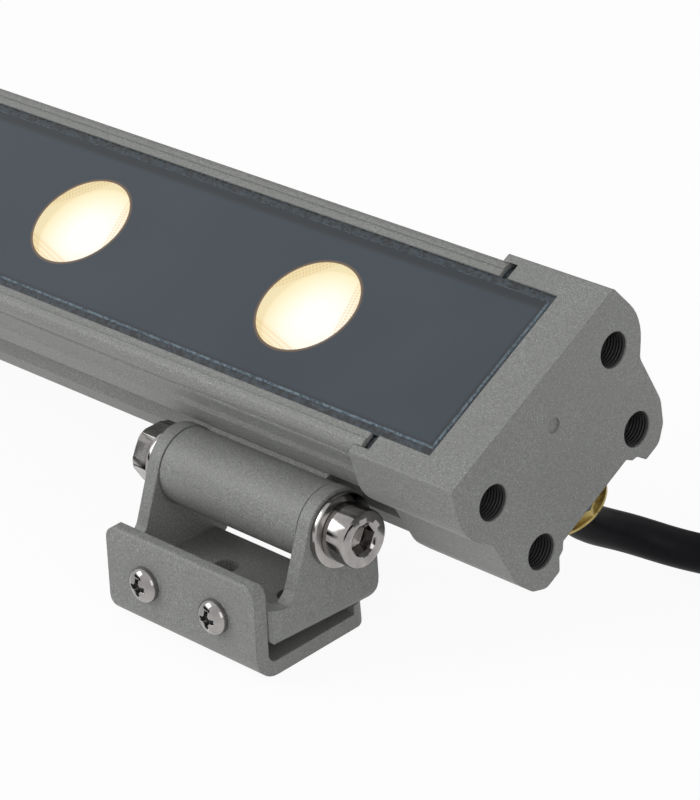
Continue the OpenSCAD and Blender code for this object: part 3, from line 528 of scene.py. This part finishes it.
MATERIALS = {
    "powder_coat": powder_coat(),
    "stainless": stainless(),
    "gland_brass": brass(),
    "seal_rubber": seal_rubber(),
    "cable_rubber": cable_rubber(),
    "circuit_board": plastic("circuit_board", srgb(222, 223, 219), srgb(240, 240, 236), rough=0.4),
    "led_phosphor": plastic("led_phosphor", srgb(238, 196, 70), srgb(250, 214, 96), rough=0.4),
    "lens_plastic": lens_plastic(),
    "black_plastic": plastic("black_plastic", srgb(18, 18, 20), srgb(31, 31, 34)),
    "driver_case": plastic("driver_case", srgb(44, 46, 50), srgb(60, 62, 67)),
    "core_insulation": plastic("core_insulation", srgb(160, 44, 30), srgb(184, 60, 40), rough=0.4),
    "printed_glass": printed_glass(),
    "clear_glass": clear_glass(),
    "glass_edge": glass_edge(),
    # Painted shade: near black for the thread walls in the cap bores and the screws' cross recesses, made
    # with the plastic helper
    "painted_bore_shade": plastic("painted_bore_shade", srgb(20, 20, 21), srgb(32, 32, 34), rough=0.6),
}


def dress_nodes():
    """Gives each CAD node the material of its slot in the record."""
    for part in frame["record"]["subparts"]:
        material = MATERIALS.get(part["material_slot"])
        if material is None:
            continue
        obj = frame["nodes"][part["node"]]
        obj.data.materials.clear()
        obj.data.materials.append(material)


# Pieces that stand for CAD nodes or add to them

def circle(x, y, radius, z, count=64):
    turns = [2 * math.pi * k / count for k in range(count)]
    return [Vector((x + radius * math.cos(a), y + radius * math.sin(a), z)) for a in turns]


def make_glass():
    """The glass cover: printed on its face but for six clear windows, with a ground edge."""
    bm = bmesh.new()
    edge = 0.0004
    corners = [(-1, -1), (1, -1), (1, 1), (-1, 1)]

    def loop(inset, z):
        return [
            bm.verts.new((sx * (GLASS_HALF_X - inset), sy * (GLASS_HALF_Y - inset), z)) for sx, sy in corners
        ]

    top, rim, foot = loop(edge, 0), loop(0, -edge), loop(0, -GLASS_T)
    windows = []
    for i in range(LED_COUNT):
        x = (i - (LED_COUNT - 1) / 2) * LED_PITCH
        windows.append([bm.verts.new(p) for p in circle(x, 0, WINDOW_R, 0)])
    outlines = []
    for ring in [top] + windows:
        outlines += [bm.edges.new(pair) for pair in zip(ring, ring[1:] + ring[:1])]
    bmesh.ops.triangle_fill(bm, edges=outlines, use_beauty=True, normal=(0, 0, 1))
    for window in windows:
        bm.faces.new(window).material_index = 1
    bm.faces.new(list(reversed(foot))).material_index = 1
    for upper, lower in ((top, rim), (rim, foot)):
        for k in range(4):
            m = (k + 1) % 4
            bm.faces.new((lower[k], lower[m], upper[m], upper[k])).material_index = 2
    mesh = bpy.data.meshes.new("front_glass")
    bm.to_mesh(mesh)
    bm.free()
    for name in ("printed_glass", "clear_glass", "glass_edge"):
        mesh.materials.append(MATERIALS[name])
    glass = add_object("front_glass", mesh, LAMP, 20)
    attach(glass, "lamp")
    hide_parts("glass_cover")


def turned(profile, count=48, ribs=0, depth=0.0):
    """Rings of a turned shape about Z, with lengthwise ribs cut into it where a point is marked."""
    rings = []
    for z, radius, ribbed in profile:
        ring = []
        for k in range(count):
            a = 2 * math.pi * k / count
            groove = depth * max(0, math.cos(ribs * a)) if ribbed else 0
            ring.append(Vector(((radius - groove) * math.cos(a), (radius - groove) * math.sin(a), z)))
        rings.append(ring)
    return skin(rings)


def thread_ring():
    """A closed sleeve of ridges that lines a counterbore, about X."""
    ridges, pitch, mouth = 16, 0.0008, 0.0004
    ridge, valley, back = 0.0003, 0.00005, 0.00002
    inner = []
    for i in range(2 * ridges + 1):
        dip = ridge if i % 2 else valley
        inner.append((-mouth - i * pitch / 2, BORE_R - dip))
    section = inner + [(inner[-1][0], BORE_R - back), (inner[0][0], BORE_R - back)]
    count = 40
    rings = []
    for k in range(count):
        a = 2 * math.pi * k / count
        rings.append([Vector((x, r * math.cos(a), r * math.sin(a))) for x, r in section])
    return skin(rings, looped=True)


def make_threads(name, side):
    """The ridged walls of the four counterbores in one cap, near black with painted shade."""
    ring_verts, ring_faces = thread_ring()
    if side < 0:
        ring_faces = [tuple(reversed(face)) for face in ring_faces]
    verts, faces = joined([
        ([Vector((side * (HALF_LEN + v.x), y + v.y, z + v.z)) for v in ring_verts], ring_faces)
        for y, z in BORE_PLACES
    ])
    threads = add_mesh(name, verts, faces, [MATERIALS["painted_bore_shade"]], LAMP)
    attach(threads, "lamp")


# Screws, nuts and washers of the two brackets
BRACKET_XS = (-0.0042, -0.3782)
HINGES = [Matrix.Translation((x, HINGE_Y, HINGE_Z)) for x in BRACKET_XS]

# The same places with Z towards the lamp's nearer end, where the screws' heads are
HINGE_OUT = [
    HINGES[0] @ Matrix.Rotation(math.pi / 2, 4, "Y"),
    HINGES[1] @ Matrix.Rotation(-math.pi / 2, 4, "Y"),
]
WASHER_R = 0.00835
WASHER_HOLE_R = 0.00415
WASHER_T = 0.0016
EAR_OUT = 0.02485
WASHER_OUT = EAR_OUT + WASHER_T

# The pan heads on the plates' front walls, which lean
LEAN = math.radians(-3.4)
PAN_X = 0.01085
PAN_SEAT = (-0.0234, -0.0162)
PAN_R = 0.004
PAN_H = 0.0029
PAN_RIM = 0.0007


def cut_round(profile, count=96):
    """Rings about Z, each a circle that may be cut to a hexagon of the given half width."""
    rings = []
    for z, radius, half_flats in profile:
        ring = []
        for k in range(count):
            a = 2 * math.pi * k / count
            from_flat = (a + math.pi / 6) % (math.pi / 3) - math.pi / 6
            r = min(radius, half_flats / math.cos(from_flat)) if half_flats else radius
            ring.append(Vector((r * math.cos(a), r * math.sin(a), z)))
        rings.append(ring)
    return skin(rings)


def washer_ring(start):
    """A flat ring with rounded edges about Z, from the given height up."""
    lower = [
        (WASHER_HOLE_R, 0), (WASHER_R - 0.00025, 0), (WASHER_R - 0.00007, 0.00009), (WASHER_R, 0.0003),
    ]
    section = lower + [(r, WASHER_T - z) for r, z in reversed(lower)]
    count = 72
    rings = []
    for k in range(count):
        a = 2 * math.pi * k / count
        rings.append([Vector((r * math.cos(a), r * math.sin(a), start + z)) for r, z in section])
    return skin(rings, looped=True)


def in_recess(x, y):
    """How deep a point lies in the cross recess of a pan head, from 0 to 1."""
    arm, half, core, slope = 0.0021, 0.00055, 0.0011, 0.00012
    first = max(abs(x) - arm, abs(y) - half)
    second = max(abs(y) - arm, abs(x) - half)
    inside = -min(first, second, math.hypot(x, y) - core)
    return min(max(inside / slope, 0), 1)


def pan_head():
    """A domed head with a cross recess, its seat on Z = 0."""
    count, steps, first_angle = 120, 44, 0.35
    recess_depth, recess_reach = 0.0014, 0.006
    outline = [(PAN_R, 0), (PAN_R, PAN_RIM)]
    for i in range(1, steps):
        r = PAN_R * math.cos(math.pi / 2 * i / steps) ** 0.8
        outline.append((r, PAN_RIM + (PAN_H - PAN_RIM) * math.sqrt(1 - (r / PAN_R) ** 2)))
    rings = []
    for r, z in outline:
        ring = []
        for k in range(count):
            a = 2 * math.pi * k / count + first_angle
            x, y = r * math.cos(a), r * math.sin(a)
            ring.append(Vector((x, y, z - recess_depth * in_recess(x, y) * (1 - r / recess_reach))))
        rings.append(ring)
    return skin(rings)


def base_piece(name, node, shapes, materials=("stainless",), sharp=35):
    """One piece of the shapes, which stands for a steel node of the base."""
    verts, faces = joined(shapes)
    piece = add_mesh(name, verts, faces, [MATERIALS[m] for m in materials], sharp=sharp)
    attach(piece, "base")
    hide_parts(node)
    return piece


def make_hinge_hardware():
    """The two hinge screws with their sockets, the nuts and the washers."""
    # Each point has its height, its radius and its half width across flats, 0 where it is round
    screw = cut_round([
        (-0.0596, 0.0034, 0), (-0.0592, 0.00395, 0), (-0.00001, 0.00395, 0), (0, 0.0062, 0),
        (0.0003, 0.0065, 0), (0.0055, 0.0065, 0), (0.006, 0.0063, 0), (0.0062, 0.0059, 0),
        (0.0062, 0.0038, 0), (0.0057, 0.01, 0.003), (0.0026, 0.01, 0.003), (0.002, 0.001, 0),
    ])
    nut = cut_round([
        (0, 0.0074, 0.0065), (0.0004, 0.0076, 0.0065), (0.0049, 0.0076, 0.0065),
        (0.0057, 0.0069, 0.0065), (0.0061, 0.0062, 0.0065), (0.0061, 0.0043, 0), (0.0057, 0.00402, 0),
    ])
    seats = [place @ Matrix.Translation((0, 0, WASHER_OUT)) for place in HINGE_OUT]
    turned_round = [place @ Matrix.Rotation(math.pi, 4, "X") for place in HINGE_OUT]
    nut_seats = [place @ Matrix.Translation((0, 0, WASHER_OUT)) for place in turned_round]
    base_piece("hinge_screw_pair", "hinge_screws", [repeated(screw, seats)])
    base_piece("hinge_nut_pair", "hinge_nuts", [repeated(nut, nut_seats)], sharp=30)
    washers = repeated(washer_ring(EAR_OUT), HINGE_OUT + turned_round)
    base_piece("hinge_washer_set", "hinge_washers", [washers])


def make_plate_screws():
    """The four pan heads on the plates' front walls, each on its threaded shank."""
    places = []
    for hinge in HINGES:
        for x in (-PAN_X, PAN_X):
            seat = Matrix.Rotation(LEAN, 4, "X") @ Matrix.Translation((x, *PAN_SEAT))
            places.append(hinge @ seat @ Matrix.Rotation(math.pi / 2, 4, "X"))
    shank = cut_round([(-0.006, 0.0017, 0), (-0.0057, 0.00195, 0), (-0.00002, 0.00195, 0)], 32)
    heads = repeated(pan_head(), places)
    piece = base_piece(
        "plate_screw_set", "plate_screws", [heads, repeated(shank, places)], ("stainless", "painted_bore_shade"), 50
    )
    # The recess's faces of the steel heads get painted shade
    above_rim = PAN_RIM + 0.0002
    turned_back = [place.inverted() for place in places]
    for polygon in piece.data.polygons:
        for back in turned_back:
            local = back @ polygon.center
            if local.z > above_rim and in_recess(local.x, local.y) > 0.4:
                polygon.material_index = 1


# The connector lies beside the coil, its axis along X
CONNECTOR = Matrix.Translation(tail_route()[-1]) @ Matrix.Rotation(math.pi / 2, 4, "Y")


def connector_piece(name, node, slot, profile, **ribs):
    verts, faces = turned(profile, **ribs)
    piece = add_mesh(name, verts, faces, [MATERIALS[slot]], CONNECTOR, sharp=40)
    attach(piece, "base")
    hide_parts(node)
    return piece


def make_connector():
    """A ribbed strain relief, a gripped body, a knurled ring and a closing cap."""
    # Each point has its height, its radius and whether lengthwise ribs are cut there
    rib_pitch, rib_w, rib_h = 0.003, 0.0014, 0.0011
    relief = [(0, 0.0052, False), (0.0005, 0.0058, False)]
    for i in range(6):
        start = 0.0012 + rib_pitch * i
        radius = 0.0059 + 0.0018 * start / 0.022
        relief += [
            (start, radius, False), (start + rib_w, radius, False),
            (start + 0.0017, radius - rib_h, False), (start + 0.0026, radius - rib_h, False),
        ]
    relief += [(0.0192, 0.0076, False), (0.022, 0.0076, False)]
    body = [
        (0.022, 0.0082, False), (0.0234, 0.0089, False), (0.026, 0.009, False), (0.0275, 0.009, True),
        (0.05, 0.009, True), (0.0515, 0.009, False), (0.056, 0.009, False),
    ]
    ring = [
        (0.0561, 0.0094, False), (0.057, 0.0104, False), (0.0585, 0.0105, True), (0.0675, 0.0105, True),
        (0.069, 0.0104, False), (0.0699, 0.0094, False),
    ]
    cap = [
        (0.07, 0.0088, False), (0.0705, 0.009, False), (0.0755, 0.009, True), (0.0795, 0.009, True),
        (0.0812, 0.0087, False), (0.082, 0.0078, False),
    ]
    return [
        connector_piece("plug_relief", "connector_boot", "cable_rubber", relief),
        connector_piece(
            "plug_body", "connector_body", "black_plastic", body, count=96, ribs=12, depth=0.0007
        ),
        connector_piece(
            "plug_ring", "connector_ring", "black_plastic", ring, count=144, ribs=36, depth=0.0005
        ),
        connector_piece(
            "plug_cap", "connector_cap", "black_plastic", cap, count=96, ribs=24, depth=0.0004
        ),
    ]


def hull(points):
    """The convex outline of flat points, counter-clockwise."""
    def chain(ordered):
        kept = []
        for p in ordered:
            while len(kept) > 1:
                (ax, ay), (bx, by) = kept[-2:]
                if (bx - ax) * (p[1] - ay) - (by - ay) * (p[0] - ax) > 0:
                    break
                kept.pop()
            kept.append(p)
        return kept[:-1]

    ordered = sorted(set(points))
    return chain(ordered) + chain(ordered[::-1])


def make_tie(name, turn):
    """A strap round all turns of the coil at one place."""
    reach, lowest, sides = 0.0048, 0.0008, 40
    thickness, half_w = 0.0007, 0.0022
    around = []
    for i in range(int(COIL_TURNS - turn) + 1):
        r = coil_radius(turn + i)
        z = COIL_CENTRE.z + coil_height(turn + i)
        for k in range(sides):
            a = 2 * math.pi * k / sides
            around.append((r + reach * math.cos(a), max(z + reach * math.sin(a), lowest)))
    outline = hull(around)
    out = coil_out(turn)
    round_coil = Vector((-out.y, out.x, 0))
    middle = Vector((sum(p[0] for p in outline), sum(p[1] for p in outline))) / len(outline)
    rings = []
    for r, z in outline:
        inward = (middle - Vector((r, z))).normalized() * thickness
        section = []
        for depth, width in ((0, -half_w), (0, half_w), (1, half_w), (1, -half_w)):
            flat = out * (r + depth * inward.x) + round_coil * width
            section.append(Vector((COIL_CENTRE.x, COIL_CENTRE.y, z + depth * inward.y)) + flat)
        rings.append(section)
    verts, faces = skin(rings, looped=True)
    tie = add_mesh(name, verts, faces, [MATERIALS["black_plastic"]], sharp=40)
    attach(tie, "base")
    return tie


# Stage

def seen_white(tree):
    """A factor for rays from the camera, mirrors and glass, to which the background is white."""
    rays = tree.nodes.new("ShaderNodeLightPath").outputs
    factor = rays["Is Camera Ray"]
    for name in ("Is Glossy Ray", "Is Transmission Ray"):
        larger = tree.nodes.new("ShaderNodeMath")
        larger.operation = "MAXIMUM"
        tree.links.new(factor, larger.inputs[0])
        tree.links.new(rays[name], larger.inputs[1])
        factor = larger.outputs[0]
    return factor


def make_floor():
    """A pale floor that reads as white and keeps a soft trace of the shadow."""
    material = bpy.data.materials.new("pale_floor")
    material.use_nodes = True
    tree = material.node_tree
    shader = tree.nodes["Principled BSDF"]
    shader.inputs["Base Color"].default_value = (0.9, 0.9, 0.9, 1)
    shader.inputs["Roughness"].default_value = 0.9
    white = tree.nodes.new("ShaderNodeEmission")
    share = tree.nodes.new("ShaderNodeMath")
    share.operation = "MULTIPLY"
    white_share = 0.93
    tree.links.new(seen_white(tree), share.inputs[0])
    share.inputs[1].default_value = white_share
    both = tree.nodes.new("ShaderNodeMixShader")
    tree.links.new(share.outputs[0], both.inputs[0])
    tree.links.new(shader.outputs[0], both.inputs[1])
    tree.links.new(white.outputs[0], both.inputs[2])
    tree.links.new(both.outputs[0], tree.nodes["Material Output"].inputs["Surface"])
    side, z = 6, -0.0003
    corners = rectangle(side, side, z)
    add_mesh("floor", corners, [(0, 1, 2, 3)], [material])


def make_world():
    world = bpy.data.worlds.new("studio")
    bpy.context.scene.world = world
    world.use_nodes = True
    tree = world.node_tree
    light = tree.nodes["Background"]
    light.inputs["Color"].default_value = (0.97, 0.985, 1, 1)
    light.inputs["Strength"].default_value = 0.64
    white = tree.nodes.new("ShaderNodeBackground")
    white.inputs["Color"].default_value = (1, 1, 1, 1)
    both = tree.nodes.new("ShaderNodeMixShader")
    tree.links.new(seen_white(tree), both.inputs[0])
    tree.links.new(light.outputs[0], both.inputs[1])
    tree.links.new(white.outputs[0], both.inputs[2])
    tree.links.new(both.outputs[0], tree.nodes["World Output"].inputs["Surface"])


def make_flag(name, place, size):
    """A dark card that only reflections see, so that polished steel shows dark bands."""
    material = bpy.data.materials.new(name)
    material.use_nodes = True
    shader = material.node_tree.nodes["Principled BSDF"]
    shader.inputs["Base Color"].default_value = (0.01, 0.01, 0.011, 1)
    shader.inputs["Roughness"].default_value = 1.0
    turn = (-Vector(place)).to_track_quat("Z", "Y").to_matrix().to_4x4()
    where = Matrix.Translation(place) @ turn
    flag = add_mesh(name, rectangle(*size), [(0, 1, 2, 3)], [material], where)
    flag.visible_camera = False
    flag.visible_diffuse = False
    flag.visible_shadow = False
    flag.visible_transmission = False


def make_light(name, place, size, energy):
    data = bpy.data.lights.new(name, "AREA")
    data.size = size
    data.energy = energy
    light = bpy.data.objects.new(name, data)
    target = Vector((-0.05, 0.02, 0.04))
    light.location = place
    light.rotation_mode = "QUATERNION"
    light.rotation_quaternion = (target - Vector(place)).to_track_quat("-Z", "Y")
    bpy.context.scene.collection.objects.link(light)


# Making it all, the camera and the cord first

make_camera()
cord, route = make_cord(MATERIALS)
connector = make_connector()
ties = [make_tie("coil_tie_a", 0.5), make_tie("coil_tie_b", 1.0)]
dress_nodes()
make_glass()
make_threads("cap_threads_right", 1)
make_threads("cap_threads_left", -1)
make_hinge_hardware()
make_plate_screws()
make_floor()
make_world()
make_flag("flag_left", (-1.1, 1.15, 1.1), (0.9, 1.2))
make_flag("flag_back", (-0.9, 1.7, 0.35), (1.6, 0.6))
make_flag("flag_low", (-1.2, -1.3, 0.3), (1.2, 0.35))
make_light("key", (-1.3, -1.2, 1.25), 1.1, 15)
make_light("side", (1.6, -0.6, 0.8), 1.0, 5)
bpy.context.scene.view_settings.view_transform = "Standard"
